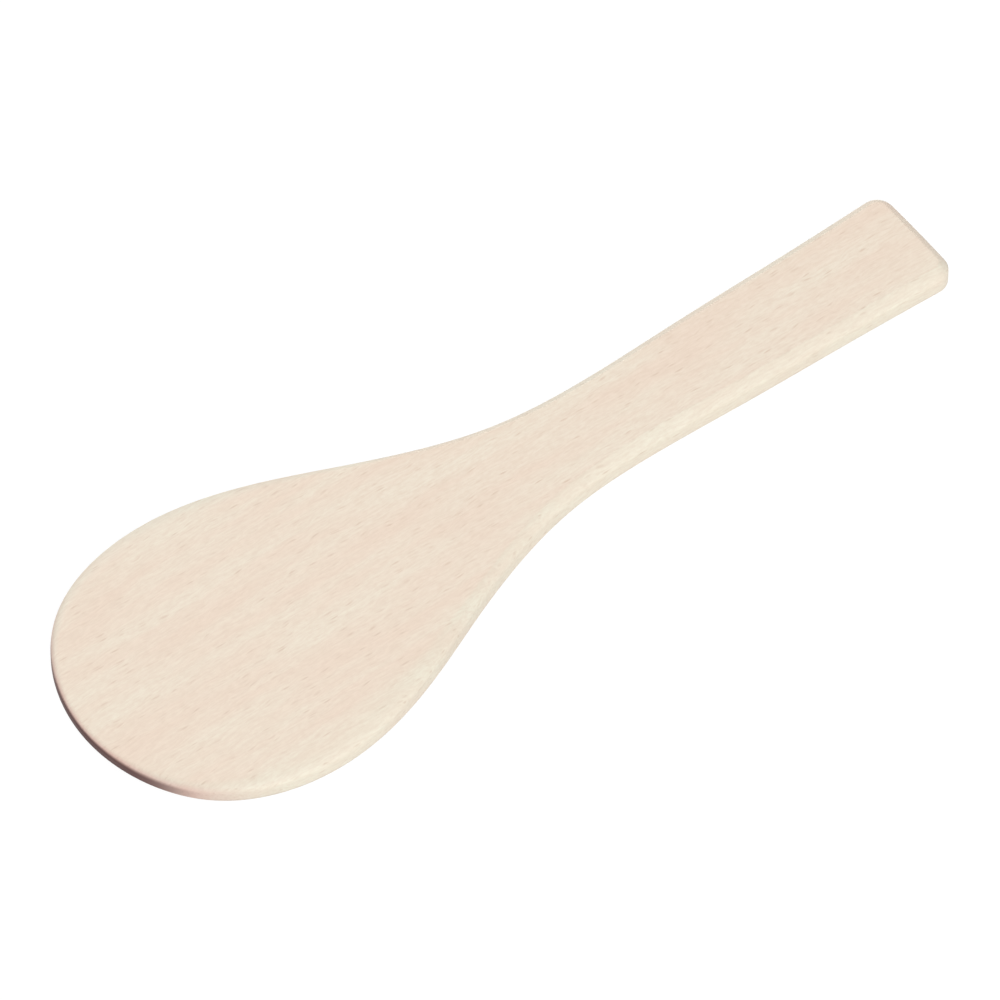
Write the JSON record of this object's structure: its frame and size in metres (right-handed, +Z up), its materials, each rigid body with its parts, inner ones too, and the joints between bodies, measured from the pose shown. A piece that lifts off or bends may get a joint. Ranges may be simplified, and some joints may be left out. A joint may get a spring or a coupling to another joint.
{
  "type": "wooden rice paddle",
  "caption": "Flat one-piece wooden rice paddle: round thinned blade with softly eased edges, narrow neck and plain straight handle.",
  "frame": {"origin": "middle of the paddle's length and width, on its flat underside", "axes": "+X along the paddle from the blade's tip to the handle's end, +Z up from the underside through the upper face, +Y across the blade"},
  "size_m": [0.2, 0.067, 0.0074],
  "materials": {
    "beech": "pale European beech, planed and sanded smooth, unfinished"
  },
  "bodies": {
    "root": {"paddle": "beech"}
  },
  "joints": []
}
